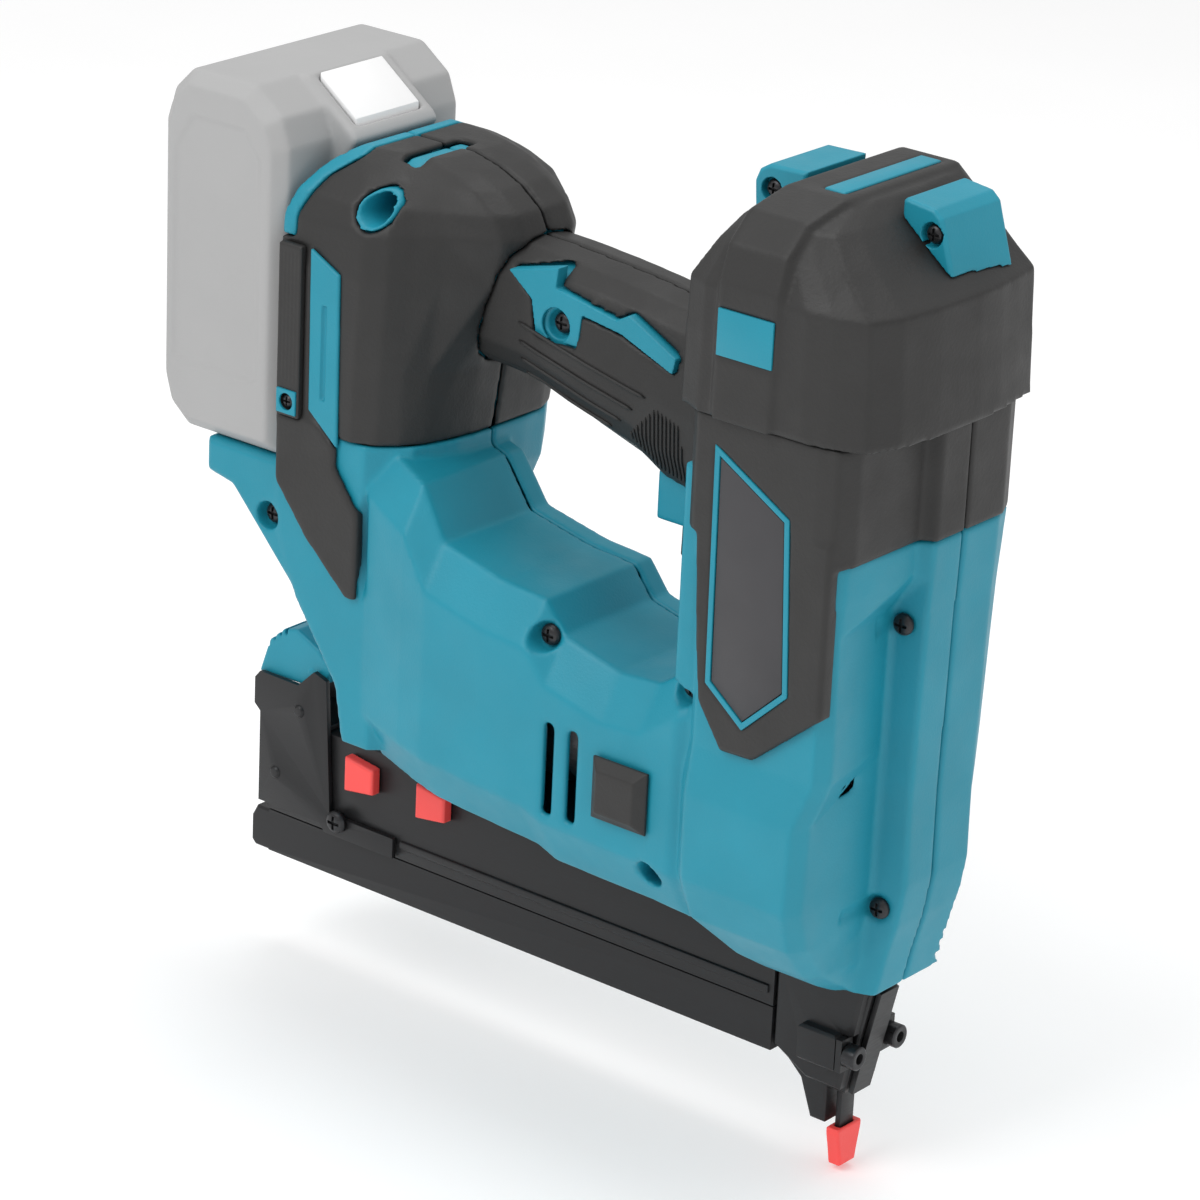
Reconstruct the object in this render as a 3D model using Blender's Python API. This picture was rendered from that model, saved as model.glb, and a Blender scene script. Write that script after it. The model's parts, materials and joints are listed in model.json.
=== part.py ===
"""Cordless brad nailer. Lengths are in millimetres until mesh_object scales them to metres.

+X runs to the front of the head, +Y to the tool's left, +Z up. The origin is the centre of the
bottom face of the contact tip, and Y = 0 is the plane where the two clamshell halves meet.
"""
import math

import bmesh
import bpy

MM = 0.001
GAP = 0.3
WALL = 2.4
SKIN = 2.0
UNDER_SKIN = SKIN + GAP
UNDER_DOME = SKIN + 1.4
FAR_AWAY = 400.0

DRIVE_X = -4.0
PISTON_LOW = 206.0
BORE_RADIUS = 16.0
BLADE_HALF_WIDTH = 2.6
BLADE_HALF_THICK = 0.65
BLADE_LOW = 70.0

MOTOR_Y = -15.0
MOTOR_Z = 116.0
MOTOR_RADIUS = 20.0

HEAD_LOW = 61.5
COLLAR_LOW = 197.5
CAP_LOW = 231.2
COLUMN_TOP = 183.6

TRACK_REAR = -213.0
TRACK_FRONT = -20.5
TRACK_TOP = 76.0
TRACK_SPLIT = 44.0
TRACK_LOW = 30.5
TRACK_HALF = 9.0
CHANNEL_HALF = 3.2

SCREW_HEAD_RADIUS = 3.2
SCREW_SHANK_RADIUS = 1.5
SCREW_END_Y = 6.0
PILLAR_RADIUS = 4.2
BOSS_RADIUS = 6.0
STRAP_HOLE = (-154.5, 0.0, 251.2)
STRAP_HOLE_RADIUS = 4.3

TRIGGER_PIVOT = (-48.0, 0.0, 200.0)
LATCH_PIVOT = (-196.0, 0.0, 92.5)

COLOURS = {
    "teal": ((0.027, 0.262, 0.366), 0.42, 0.0),
    "black": ((0.038, 0.038, 0.038), 0.75, 0.0),
    "dark": ((0.020, 0.020, 0.021), 0.45, 0.0),
    "steel": ((0.35, 0.35, 0.36), 0.35, 1.0),
    "bolt": ((0.045, 0.045, 0.048), 0.35, 0.9),
    "alloy": ((0.55, 0.55, 0.57), 0.40, 0.9),
    "coral": ((1.0, 0.095, 0.080), 0.45, 0.0),
    "pack": ((0.46, 0.46, 0.46), 0.45, 0.0),
    "button": ((0.85, 0.85, 0.85), 0.45, 0.0),
    "board": ((0.02, 0.16, 0.05), 0.55, 0.0),
    "copper": ((0.60, 0.28, 0.12), 0.40, 0.8),
    "bumper": ((0.05, 0.05, 0.05), 0.85, 0.0),
}

# Each screw that runs across the tool: x, z, where its head sits, and how deep its well is.
CROSS_SCREWS = {
    "screw_head_upper": (18.8, 173.0, -15.0, 9.0),
    "screw_head_lower": (16.9, 89.0, -14.0, 14.0),
    "screw_motor_rear": (-81.3, 147.8, -39.0, 12.0),
    "screw_motor_front": (-31.3, 147.2, -39.0, 14.0),
    "screw_motor_lower": (-39.3, 90.7, -35.0, 14.0),
    "screw_grip": (-103.0, 226.5, -12.0, 12.0),
    "screw_ledge": (-188.5, 153.0, -34.0, 12.0),
}


# ---------------------------------------------------------------- shapes

def mesh_object(name, points, faces):
    """Adds a closed mesh, with faces that are flat and face outwards."""
    mesh = bpy.data.meshes.new(name)
    mesh.from_pydata([(x * MM, y * MM, z * MM) for x, y, z in points], [], faces)
    work = bmesh.new()
    work.from_mesh(mesh)
    bmesh.ops.connect_verts_nonplanar(work, angle_limit=0.0005, faces=work.faces[:])
    bmesh.ops.recalc_face_normals(work, faces=work.faces[:])
    work.to_mesh(mesh)
    work.free()
    obj = bpy.data.objects.new(name, mesh)
    bpy.context.collection.objects.link(obj)
    return obj


def loft(name, rings):
    """Skins equal closed rings of points, and closes both ends."""
    count = len(rings[0])
    points = [point for ring in rings for point in ring]
    faces = [tuple(range(count)), tuple(range(len(points) - count, len(points)))]
    for level in range(len(rings) - 1):
        base = level * count
        for i in range(count):
            j = (i + 1) % count
            faces.append((base + i, base + j, base + count + j, base + count + i))
    return mesh_object(name, points, faces)


def inset(outline, distance):
    """Moves every side of a closed outline inwards, or outwards when distance is negative."""
    count = len(outline)
    area = 0.0
    for i in range(count):
        (ax, ay), (bx, by) = outline[i], outline[(i + 1) % count]
        area += ax * by - bx * ay
    turn = 1.0 if area > 0.0 else -1.0
    moved = []
    for i in range(count):
        before, here, after = outline[i - 1], outline[i], outline[(i + 1) % count]
        normals = []
        for start, end in ((before, here), (here, after)):
            dx, dy = end[0] - start[0], end[1] - start[1]
            length = math.hypot(dx, dy)
            normals.append((-dy / length * turn, dx / length * turn))
        (ax, ay), (bx, by) = normals
        scale = distance / max(0.35, 1.0 + ax * bx + ay * by)
        moved.append((here[0] + (ax + bx) * scale, here[1] + (ay + by) * scale))
    return moved


def placed(outline, axis, at):
    """Stands a flat outline at one value of an axis. The other two axes keep their X, Y, Z order."""
    if axis == "X":
        return [(at, a, b) for a, b in outline]
    if axis == "Y":
        return [(a, at, b) for a, b in outline]
    return [(a, b, at) for a, b in outline]


def prism(name, outline, axis, low, high, bevel_low=0.0, bevel_high=0.0):
    """An outline pushed along an axis, with an optional bevel at either end."""
    rings = []
    if bevel_low:
        rings.append(placed(inset(outline, bevel_low), axis, low))
    rings.append(placed(outline, axis, low + bevel_low))
    rings.append(placed(outline, axis, high - bevel_high))
    if bevel_high:
        rings.append(placed(inset(outline, bevel_high), axis, high))
    return loft(name, rings)


def block(name, low, high, bevel=0.0):
    outline = [(low[0], low[1]), (high[0], low[1]), (high[0], high[1]), (low[0], high[1])]
    return prism(name, outline, "Z", low[2], high[2], bevel, bevel)


def turned(name, centre, axis, profile, sides=24):
    """A solid of revolution. The profile holds (radius, distance along the axis) pairs. When no
    pair is on the axis, the profile closes on itself and leaves a bore."""
    points = []
    rings = []
    for radius, along in profile:
        ring = []
        for i in range(sides if radius else 1):
            angle = 2.0 * math.pi * (i + 0.5) / sides
            a, b = radius * math.cos(angle), radius * math.sin(angle)
            offset = {"X": (along, a, b), "Y": (b, along, a), "Z": (a, b, along)}[axis]
            ring.append(len(points))
            points.append(tuple(c + o for c, o in zip(centre, offset)))
        rings.append(ring)
    pairs = list(zip(rings, rings[1:]))
    if profile[0][0] and profile[-1][0]:
        pairs.append((rings[-1], rings[0]))
    faces = []
    for lower, upper in pairs:
        for i in range(sides):
            j = (i + 1) % sides
            corners = [lower[i % len(lower)], lower[j % len(lower)],
                       upper[j % len(upper)], upper[i % len(upper)]]
            faces.append(tuple(dict.fromkeys(corners)))
    return mesh_object(name, points, faces)


def rod(name, centre, axis, radius, low, high, sides=20):
    return turned(name, centre, axis, [(0, low), (radius, low), (radius, high), (0, high)], sides)


def coil(name, start, axis, radius, wire, length, turns):
    """A round-wire compression spring."""
    steps = turns * 8
    sides = 5
    rings = []
    for step in range(steps + 1):
        angle = 2.0 * math.pi * turns * step / steps
        along = wire + (length - 2.0 * wire) * step / steps
        ring = []
        for side in range(sides):
            tilt = 2.0 * math.pi * side / sides
            reach = radius + wire * math.cos(tilt)
            a, b = reach * math.cos(angle), reach * math.sin(angle)
            rise = along + wire * math.sin(tilt)
            offset = (rise, a, b) if axis == "X" else (a, b, rise)
            ring.append(tuple(s + o for s, o in zip(start, offset)))
        rings.append(ring)
    return loft(name, rings)


def combine(body, tool, operation):
    """Applies one exact Boolean to body, and removes the tool."""
    step = body.modifiers.new(operation, "BOOLEAN")
    step.operation = operation
    step.solver = "EXACT"
    step.object = tool
    graph = bpy.context.evaluated_depsgraph_get()
    mesh = bpy.data.meshes.new_from_object(body.evaluated_get(graph))
    body.modifiers.clear()
    body.data = mesh
    bpy.data.objects.remove(tool)
    return body


def join(body, *tools):
    for tool in tools:
        combine(body, tool, "UNION")
    return body


def cut(body, *tools):
    for tool in tools:
        combine(body, tool, "DIFFERENCE")
    return body


def copy_of(obj, name):
    twin = obj.copy()
    twin.data = obj.data.copy()
    twin.name = name
    bpy.context.collection.objects.link(twin)
    return twin


def split(whole, near_name, far_name):
    """Parts a solid on the seam into a near and a far half with a fine gap between them."""
    far = copy_of(whole, far_name)
    whole.name = near_name
    reach = (-FAR_AWAY, FAR_AWAY)
    cut(whole, block("tool", (reach[0], -GAP / 2, reach[0]), (reach[1], reach[1], reach[1])))
    cut(far, block("tool", (reach[0], reach[0], reach[0]), (reach[1], GAP / 2, reach[1])))
    return whole, far


# ---------------------------------------------------------------- outer forms

def head_section(front_near, front_base, band, near, far, rear):
    """A level slice of the head, from its rear near corner: near side, front, far side."""
    return [(rear, near + 4.0), (rear + 4.0, near), (front_near - 3.0, near),
            (front_near, near + min(5.0, -near * 0.2)), (front_base, -15.8), (band, -13.2), (band, 16.0),
            (band - 3.4, far - 3.0), (band - 8.0, far), (rear + 3.0, far), (rear, far - 3.0)]


def head_form(name, shrink):
    """The teal head: straight above, drawn in towards the nose below. It is solid at the bottom."""
    levels = [
        (HEAD_LOW, 9.0, 10.5, 16.6, -18.0, 10.0, -15.0),
        (66.0, 10.0, 12.0, 17.6, -26.5, 11.0, -17.0),
        (72.0, 11.0, 13.0, 18.8, -35.5, 12.4, -19.0),
        (84.0, 13.0, 13.4, 21.9, -46.5, 17.4, -27.0),
        (97.0, 14.5, 14.4, 24.0, -52.0, 21.6, -27.0),
        (122.0, 15.5, 14.6, 23.6, -52.4, 24.7, -27.0),
        (136.0, 19.8, 14.6, 23.9, -49.7, 25.3, -27.0),
        (177.0, 19.5, 14.6, 24.8, -49.7, 26.4, -27.0),
        (188.0, 20.5, 21.5, 25.3, -49.7, 27.0, -27.0),
        (COLLAR_LOW - GAP, 20.5, 21.7, 25.6, -49.7, 27.6, -27.0),
    ]
    if shrink > 0.0:
        levels = levels[3:]
    rings = []
    for z, front_near, front_base, band, near, far, rear in levels:
        outline = head_section(front_near, front_base, band, near, far, rear)
        rings.append(placed(inset(outline, shrink), "Z", z))
    if shrink > 0.0:
        rings[0] = [(x, y, z + shrink) for x, y, z in rings[0]]
        rings.append([(x, y, COLLAR_LOW + 10.0) for x, y, _ in rings[-1]])
    return loft(name, rings)


def collar_form(name, shrink, low=COLLAR_LOW, high=CAP_LOW - GAP):
    """The upper head, which the soft collar covers."""
    outline = [(-29.0, -49.0), (-25.5, -52.0), (14.0, -52.0), (19.8, -51.0), (22.0, -44.0), (22.0, -15.5),
               (25.9, -13.2), (25.9, 17.0), (23.0, 23.5), (17.0, 28.0), (-25.0, 28.0), (-29.0, 24.0)]
    return prism(name, inset(outline, shrink), "Z", low, high)


def motor_form(name, shrink):
    """The motor housing, which runs forward from the rear column into the head."""
    # x, top, bottom, near face, far face
    levels = [(-150.0, 183.0, 88.0, -39.0, 20.0), (-132.0, 177.0, 86.0, -44.0, 22.0),
              (-122.0, 163.0, 85.0, -46.0, 22.0), (-100.0, 158.5, 84.0, -47.0, 22.0),
              (-84.0, 157.3, 83.0, -47.0, 22.0), (-77.0, 148.5, 80.2, -47.0, 22.0),
              (-57.0, 143.5, 79.8, -47.0, 22.0), (-43.0, 144.5, 79.6, -47.0, 22.0),
              (-31.0, 153.0, 79.4, -48.0, 21.0), (-18.0, 158.0, 76.0, -43.0, 13.0)]
    rings = []
    for x, top, low, near, far in levels:
        outline = [(near + 8.0, top), (near, top - 13.0), (near, low + 15.0), (near + 9.0, low),
                   (far - 8.0, low), (far, low + 14.0), (far, top - 26.0), (far - 15.0, top)]
        rings.append(placed(inset(outline, shrink), "X", x))
    if shrink > 0.0:
        rings[0] = [(x + 4.0, y, z) for x, y, z in rings[0]]
    return loft(name, rings)


def column_section(rear, corner_near, front, corner_far, near, far):
    return [(rear, near), (corner_near[0] - 10.0, near), corner_near, (front - 1.0, -14.0), (front, 0.0),
            (front, 14.0), corner_far, (corner_far[0] - 11.0, far), (rear, far)]


def column_form(name, shrink):
    """The teal lower half of the rear column."""
    # z, rear, near corner x, front x
    levels = [(92.0, -158.0, -138.0, -134.0), (108.5, -161.0, -138.0, -134.0), (131.6, -177.2, -140.0, -137.0),
              (152.0, -184.6, -146.0, -143.5), (162.0, -184.6, -145.0, -141.0), (169.0, -184.6, -142.5, -138.0),
              (COLUMN_TOP, -184.6, -142.0, -137.0)]
    rings = []
    for z, rear, corner, front in levels:
        outline = column_section(rear, (corner, -29.0), front, (front - 1.0, 24.0), -38.8, 38.8)
        rings.append(placed(inset(outline, shrink), "Z", z))
    if shrink > 0.0:
        rings[0] = [(x, y, z + shrink) for x, y, z in rings[0]]
        rings.append([(x, y, COLUMN_TOP + 8.0) for x, y, _ in rings[-1]])
    return loft(name, rings)


def dome_section(rear, corner_near, front, corner_far, near, far):
    """A column section whose front corners are cut back to look round."""
    outline = column_section(rear, corner_near, front, corner_far, near, far)
    soft = [outline[0]]
    for before, here, after in zip(outline, outline[1:], outline[2:]):
        for other in (before, after):
            share = min(0.3, 4.0 / math.dist(here, other))
            soft.append(tuple(h + (o - h) * share for h, o in zip(here, other)))
    return soft + [outline[-1]]


def dome_form(name, shrink, low=COLUMN_TOP + GAP):
    """The upper half of the rear column and its dome, which the soft skin covers."""
    sections = [
        (low, -184.6, (-142.0, -29.5), -137.0, (-137.5, 24.5), -40.0, 39.5),
        (205.0, -184.6, (-141.5, -29.5), -134.0, (-135.5, 23.5), -40.0, 39.5),
        (232.0, -184.6, (-140.0, -28.5), -122.0, (-132.0, 21.0), -40.0, 39.0),
        (245.0, -184.6, (-140.5, -27.0), -119.0, (-133.0, 20.0), -38.4, 37.4),
        (252.0, -182.3, (-143.0, -25.0), -122.5, (-136.0, 19.0), -35.6, 34.6),
        (257.5, -179.0, (-148.0, -21.5), -130.0, (-141.0, 17.5), -30.0, 29.0),
        (261.0, -176.2, (-152.5, -19.0), -138.0, (-146.5, 17.0), -24.5, 24.0),
        (263.2, -173.0, (-155.5, -16.0), -147.0, (-151.5, 15.5), -18.5, 18.5),
    ]
    shape = dome_section
    if shrink > UNDER_DOME:
        shape = column_section
        sections = sections[:5]
    rings = []
    for z, rear, corner_near, front, corner_far, near, far in sections:
        outline = shape(rear, corner_near, front, corner_far, near, far)
        level = z if z == low else z - shrink * (z - 205.0) / 58.2
        rings.append(placed(inset(outline, shrink), "Z", level))
    return loft(name, rings)


def grip_section(half_width, low, high):
    """A rounded upright slice of the grip."""
    sides = 16
    mid, half = (low + high) / 2.0, (high - low) / 2.0
    points = []
    for i in range(sides):
        angle = 2.0 * math.pi * i / sides
        c, s = math.cos(angle), math.sin(angle)
        points.append((half_width * math.copysign(abs(c) ** 0.75, c), mid + half * math.copysign(abs(s) ** 0.75, s)))
    return points


def grip_form(name, shrink, rear=-129.0, front=-29.5):
    """The grip, which bridges the dome and the head."""
    stations = [(-129.0, 15.0, 206.0, 246.0), (-118.0, 16.5, 205.0, 245.5), (-109.0, 17.5, 203.7, 245.0),
                (-91.0, 18.0, 197.5, 243.5), (-76.0, 17.5, 192.6, 242.0), (-67.0, 16.5, 186.5, 240.5),
                (-58.0, 16.0, 184.0, 239.5), (-29.5, 16.0, 183.0, 239.0)]
    rings = []
    for x, half_width, low, high in stations:
        outline = grip_section(half_width - shrink, low + shrink, high - shrink)
        rings.append(placed(outline, "X", x))
    rings[0] = [(rear, y, z) for _, y, z in rings[0]]
    rings[-1] = [(front, y, z) for _, y, z in rings[-1]]
    return loft(name, rings)


LEDGE = [(-213.0, 171.0), (-213.0, 160.4), (-203.0, 158.4), (-177.2, 131.6), (-166.0, 131.6), (-166.0, 171.0)]
CREST = [(-200.0, 239.0), (-179.8, 239.0), (-179.8, 246.0), (-175.0, 256.0), (-169.5, 261.0), (-169.5, 280.0),
         (-200.0, 280.0)]
PAD_TONGUE = [(-184.2, 187.0), (-184.2, 166.0), (-172.5, 151.5), (-156.5, 137.0), (-152.4, 137.0),
              (-152.4, 163.5), (-161.5, 175.5), (-161.5, 187.0)]


# ---------------------------------------------------------------- clamshell and skins

def rail_slot(name, spare):
    """The T-shaped slot that the pack's foot slides down, or the foot when spare is negative."""
    outline = [(-188.0, -21.5 - spare), (-180.6 + spare, -21.5 - spare), (-180.6 + spare, -24.5 - spare),
               (-175.8 + spare, -24.5 - spare), (-175.8 + spare, 24.5 + spare), (-180.6 + spare, 24.5 + spare),
               (-180.6 + spare, 21.5 + spare), (-188.0, 21.5 + spare)]
    outline[2] = (-180.6 - spare, outline[2][1])
    outline[1] = (-180.6 - spare, outline[1][1])
    outline[5] = (-180.6 - spare, outline[5][1])
    outline[6] = (-180.6 - spare, outline[6][1])
    return prism(name, outline, "Z", 176.0, FAR_AWAY)


def screw_wells():
    """The wells and bores of every cross screw."""
    tools = []
    for x, z, seat, depth in CROSS_SCREWS.values():
        tools.append(rod("tool", (x, 0, z), "Y", SCREW_HEAD_RADIUS + 1.0, seat - depth, seat + GAP, 14))
        tools.append(rod("tool", (x, 0, z), "Y", SCREW_SHANK_RADIUS + GAP, seat - 1.0, SCREW_END_Y + 1.0, 10))
    return tools


def screw_posts():
    """The solid round each cross screw: a wide boss down to its seat, and a pillar beyond."""
    posts = []
    for x, z, seat, _ in CROSS_SCREWS.values():
        step = seat + 2.0
        profile = [(0, -FAR_AWAY), (BOSS_RADIUS, -FAR_AWAY), (BOSS_RADIUS, step), (PILLAR_RADIUS, step),
                   (PILLAR_RADIUS, FAR_AWAY), (0, FAR_AWAY)]
        posts.append(turned("tool", (x, 0, z), "Y", profile, 12))
    posts.append(rod("tool", STRAP_HOLE, "Y", STRAP_HOLE_RADIUS + WALL, -FAR_AWAY, -6.0, 16))
    return posts


def trigger_slot():
    return block("tool", (-71.5, -6.2, 150.0), (-42.5, 6.2, 206.0))


def trigger_lip(grow=0.0):
    """The hard rim on both sides of the trigger, which the grip's skin stops short of."""
    return block("tool", (-70.0 - grow, -10.0 - grow, 177.0), (-26.0, 10.0 + grow, 192.0 + grow))


def spine(grow=0.0):
    """The hard rib behind the head's near side, which the collar stops short of."""
    return block("tool", (-31.5 - grow, -48.6 - grow, 150.0), (-25.4 + grow, -24.0, 214.0 + grow))


def nose_socket():
    """Room for the nose and the magazine under the head."""
    return [block("tool", (-22.0, -7.4, 40.0), (12.6, 7.4, 90.0)),
            block("tool", (-240.0, -TRACK_HALF - 2.2, 20.0), (TRACK_FRONT + GAP, TRACK_HALF + 2.2, TRACK_TOP + GAP))]


def clamshell():
    outer = head_form("housing", 0.0)
    join(outer, collar_form("tool", UNDER_SKIN, COLLAR_LOW - 8.0), motor_form("tool", 0.0),
         column_form("tool", 0.0), prism("tool", LEDGE, "Y", -38.5, 38.5, 1.5, 1.5),
         dome_form("tool", UNDER_DOME, COLUMN_TOP - 8.0), grip_form("tool", UNDER_SKIN, -150.0, -20.0),
         combine(dome_form("tool", 0.0), prism("crest", CREST, "Y", -60.0, 60.0), "INTERSECT"),
         trigger_lip(), spine(),
         combine(dome_form("tool", 0.0), rod("rim", STRAP_HOLE, "Y", STRAP_HOLE_RADIUS + 1.1, -60.0, -20.0, 20),
                 "INTERSECT"),
         combine(dome_form("tool", 1.2), top_slot(-GAP), "INTERSECT"))
    hollows = [head_form("tool", WALL), collar_form("tool", UNDER_SKIN + WALL, COLLAR_LOW - 6.0, CAP_LOW + 9.0),
               motor_form("tool", WALL), column_form("tool", WALL),
               dome_form("tool", UNDER_DOME + WALL, COLUMN_TOP - 6.0),
               grip_form("tool", UNDER_SKIN + WALL, -150.0, -15.0)]
    for hollow in hollows:
        cut(hollow, block("tool", (-190.0, -29.0, 150.0), (-173.0, 29.0, 300.0)))
        cut(hollow, *screw_posts())
        cut(outer, hollow)
    cut(outer, rail_slot("tool", GAP), trigger_slot(), *nose_socket(), *screw_wells(),
        rod("tool", STRAP_HOLE, "Y", STRAP_HOLE_RADIUS, -FAR_AWAY, -9.0, 20))
    for x in (-75.0, -66.5):
        cut(outer, block("tool", (x - 1.7, -FAR_AWAY, 97.7), (x + 1.7, -40.0, 125.3)))
    split(outer, "housing_near", "housing_far")


def top_slot(grow=0.0):
    return block("slot", (-158.5 - grow, -19.0 - grow, 250.0), (-152.5 + grow, 6.0 + grow, 300.0))


def dome_skin():
    skin = dome_form("skin", 0.0)
    join(skin, cut(prism("tool", PAD_TONGUE, "Y", -40.8, -37.0, 0.5), column_form("tool", -GAP)))
    cut(skin, dome_form("tool", SKIN, COLUMN_TOP - 8.0), grip_form("tool", -GAP, GRIP_REAR - GAP, -20.0),
        rail_slot("tool", GAP), prism("tool", inset(CREST, -GAP), "Y", -60.0, 60.0),
        rod("tool", STRAP_HOLE, "Y", STRAP_HOLE_RADIUS + 1.1 + GAP, -FAR_AWAY, 0.0, 20))
    pocket = [(-183.5, 186.0), (-174.5, 186.0), (-174.5, 238.0), (-183.5, 238.0)]
    cut(skin, prism("tool", pocket, "Y", -60.0, -38.8))
    cut(skin, prism("tool", inset(SIDE_PANEL, -GAP), "Y", -60.0, -38.9),
        top_slot())
    split(skin, "dome_skin_near", "dome_skin_far")


def grip_skin():
    skin = grip_form("skin", 0.0, GRIP_REAR)
    bare = [(-36.5, 150.0), (-36.5, 201.0), (-33.5, 205.0), (-20.0, 205.0), (-20.0, 150.0)]
    cut(skin, grip_form("tool", SKIN, -150.0, -20.0), dome_form("tool", SKIN, 150.0), trigger_slot(),
        trigger_lip(GAP), prism("tool", bare, "Y", -60.0, 60.0),
        rod("tool", (-103.0, 0.0, 226.5), "Y", 5.0, -FAR_AWAY, 0.0),
        prism("tool", inset(GRIP_INLAY, -GAP), "Y", -60.0, -6.0))
    split(skin, "grip_skin_near", "grip_skin_far")


def collar():
    """The soft collar around the upper head, with the pointed block that frames the label."""
    body = collar_form("collar", 0.0)
    tongue = [(19.5, 205.0), (19.5, 156.0), (-2.1, 138.0), (-12.7, 137.6), (-21.0, 150.0), (-22.8, 167.0),
              (-25.0, 205.0)]
    join(body, prism("tool", tongue, "Y", -52.0, -47.0, 0.8))
    cut(body, collar_form("tool", SKIN, 150.0, 260.0), head_form("tool", -GAP),
        grip_form("tool", -GAP, -150.0, -10.0))
    cut(body, prism("tool", inset(LABEL_FRAME, -GAP), "Y", -60.0, -50.9), spine(GAP))
    split(body, "collar_near", "collar_far")


LABEL_FRAME = [(-19.3, 223.0), (5.9, 208.5), (8.6, 159.5), (-5.6, 146.0), (-18.4, 156.0)]
SIDE_PANEL = [(-172.4, 237.5), (-161.5, 232.0), (-161.0, 181.0), (-172.0, 190.0)]
GRIP_REAR = -138.0
GRIP_INLAY = [(-120.5, 238.6), (-102.8, 243.0), (-103.5, 237.0), (-82.1, 233.0), (-77.7, 235.5), (-60.9, 227.0),
              (-62.0, 222.5), (-80.0, 229.5), (-94.0, 231.5), (-95.0, 222.0), (-110.0, 222.0), (-112.0, 232.0)]


def label():
    frame = prism("label_frame", LABEL_FRAME, "Y", -52.1, -51.1)
    cut(frame, prism("tool", inset(LABEL_FRAME, 1.6), "Y", -60.0, -50.0))
    prism("label_plate", inset(LABEL_FRAME, 1.6 + GAP), "Y", -51.8, -51.2)


def trims():
    """The hard trims let into the soft skins."""
    panel = prism("side_panel", SIDE_PANEL, "Y", -40.6, -39.2, 0.4)
    cut(panel, block("tool", (-167.5, -60.0, 194.0), (-165.6, -39.7, 222.0)))
    strip = block("side_bumper", (-183.2, -41.6, 186.3), (-174.8, -39.1, 237.6), 0.5)
    for i in range(5):
        x = -182.0 + 1.4 * i
        cut(strip, block("tool", (x, -43.0, 197.0), (x + 0.6, -41.1, 235.6)))
    cut(strip, rod("tool", (-179.0, 0.0, 191.0), "Y", 2.7, -45.0, -30.0))
    inlay = prism("grip_inlay", GRIP_INLAY, "Y", -16.5, -12.0)
    cut(inlay, grip_form("tool", SKIN, -150.0, -20.0), rod("tool", (-103.0, 0.0, 226.5), "Y", 5.0, -60.0, 0.0))
    pad = [(-57.4, 103.6), (-38.5, 103.6), (-38.5, 121.9), (-57.4, 121.9)]
    loft("motor_pad", [placed(inset(pad, grow), "Y", y)
                       for grow, y in ((0.0, -47.9), (0.0, -48.7), (3.0, -51.2))])


# ---------------------------------------------------------------- head cap

FRONT_CLIP = [(8.0, 266.0), (22.0, 266.0), (25.9, 267.8), (20.6, 285.0), (18.0, 287.2), (9.0, 288.3), (8.0, 287.4)]
REAR_CLIP = [(-23.0, 287.8), (-35.4, 287.4), (-38.6, 285.4), (-40.0, 282.0), (-39.4, 274.0), (-36.0, 270.0),
             (-30.0, 267.0), (-24.0, 267.0)]


def cap_form(name, shrink):
    base = [(-33.0, -50.0), (-25.0, -53.6), (9.5, -54.3), (17.0, -52.6), (26.7, -49.2), (30.1, -39.0),
            (31.6, -24.0), (31.9, -7.0), (31.0, 4.0), (29.7, 13.0), (28.0, 22.5), (22.0, 27.3), (-27.0, 27.3),
            (-33.0, 23.0)]
    # z, then how far the front, rear, near and far sides have drawn in
    levels = [(CAP_LOW, 0.0, 0.0, 0.0, 0.0), (265.8, 1.8, 0.3, 0.7, 0.3), (276.0, 15.0, 6.0, 4.5, 1.6),
              (283.0, 23.5, 10.5, 9.5, 2.4), (287.2, 28.8, 13.2, 26.0, 3.4)]
    low_x, high_x, low_y, high_y = -33.0, 31.9, -54.3, 27.3
    rings = []
    for z, front, rear, near, far in levels:
        ring = []
        for x, y in inset(base, shrink):
            share_x = (x - low_x) / (high_x - low_x)
            share_y = (y - low_y) / (high_y - low_y)
            ring.append((x - front * share_x + rear * (1.0 - share_x), y + near * (1.0 - share_y) - far * share_y,
                         z if z == CAP_LOW else z - shrink * 0.9))
        rings.append(ring)
    if shrink > 0.0:
        rings[0] = [(x, y, z - 5.0) for x, y, z in rings[0]]
    return loft(name, rings)


def head_cap():
    cap = cap_form("head_cap", 0.0)
    band = [(-55.3, CAP_LOW), (-54.6, 268.0), (-51.5, 278.0), (-43.5, 285.5), (-28.0, 288.7), (22.5, 288.7),
            (26.3, 281.0), (27.2, 262.0), (20.0, CAP_LOW)]
    join(cap, prism("tool", band, "X", -19.6, 0.5, 0.8, 0.8))
    cut(cap, cap_form("tool", 2.5), grip_form("tool", -GAP, -150.0, -20.0),
        block("tool", (-18.9, -70.0, 248.2), (-0.3, -54.0, 261.6)),
        block("tool", (-10.3, -24.0, 287.6), (-3.1, 19.3, 300.0)))
    block("side_window", (-18.6, -55.1, 248.5), (-0.6, -54.3, 261.3))
    block("top_strip", (-10.0, -23.7, 287.9), (-3.4, 19.0, 288.9), 0.3)


def cap_clip(name, outline, screw_x, screw_z):
    """A teal clip astride the cap's sloped shoulder, with a screw across it."""
    clip = prism(name, outline, "Y", -14.0, 13.0, 0.8, 0.8)
    cut(clip, cap_form("tool", -GAP), block("tool", (-20.6, -60.0, 200.0), (1.5, 60.0, 300.0)))
    centre = (screw_x, 0.0, screw_z)
    cut(clip, rod("tool", centre, "Y", 3.4, -20.0, -11.0), rod("tool", centre, "Y", 1.5, -12.0, 5.0, 12))
    screw("screw_" + name, (screw_x, -11.0 - GAP, screw_z), 2.8, 13.0, 1.2)


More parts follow.
